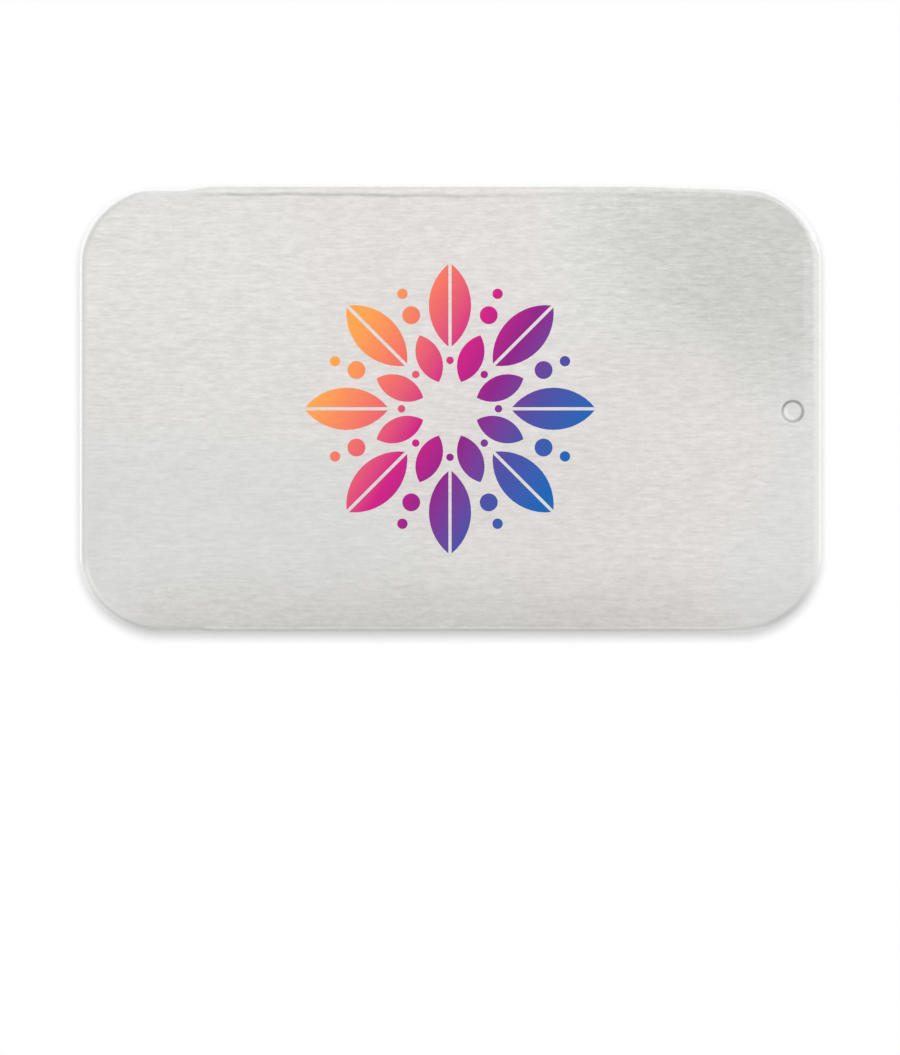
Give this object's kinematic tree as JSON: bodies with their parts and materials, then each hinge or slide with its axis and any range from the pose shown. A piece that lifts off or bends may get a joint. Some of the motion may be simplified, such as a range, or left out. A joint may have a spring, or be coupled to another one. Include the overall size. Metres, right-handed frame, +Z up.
{
  "type": "slide-lid mint tin",
  "caption": "Flat rectangular tinplate tin with rounded corners, a rolled rim and a lid that slides lengthwise on folded hems, held shut by a small pressed dimple.",
  "frame": {"origin": "centre of the underside, on the plane that the tin stands on", "axes": "+X along the length, towards the lid's closed end and the way the lid opens; +Z up, through the lid; +Y completes the right-handed frame"},
  "size_m": [0.0799, 0.0482, 0.012],
  "materials": {
    "tinplate_tray": "satin",
    "tinplate_lid": "satin"
  },
  "bodies": {
    "tray": {"base_tray": "tinplate_tray"},
    "lid": {"slide_lid": "tinplate_lid"}
  },
  "joints": [
    {"name": "lid_slide", "type": "slide", "parent": "tray", "child": "lid", "axis": [1, 0, 0], "range_m": [0, 0.048]}
  ]
}
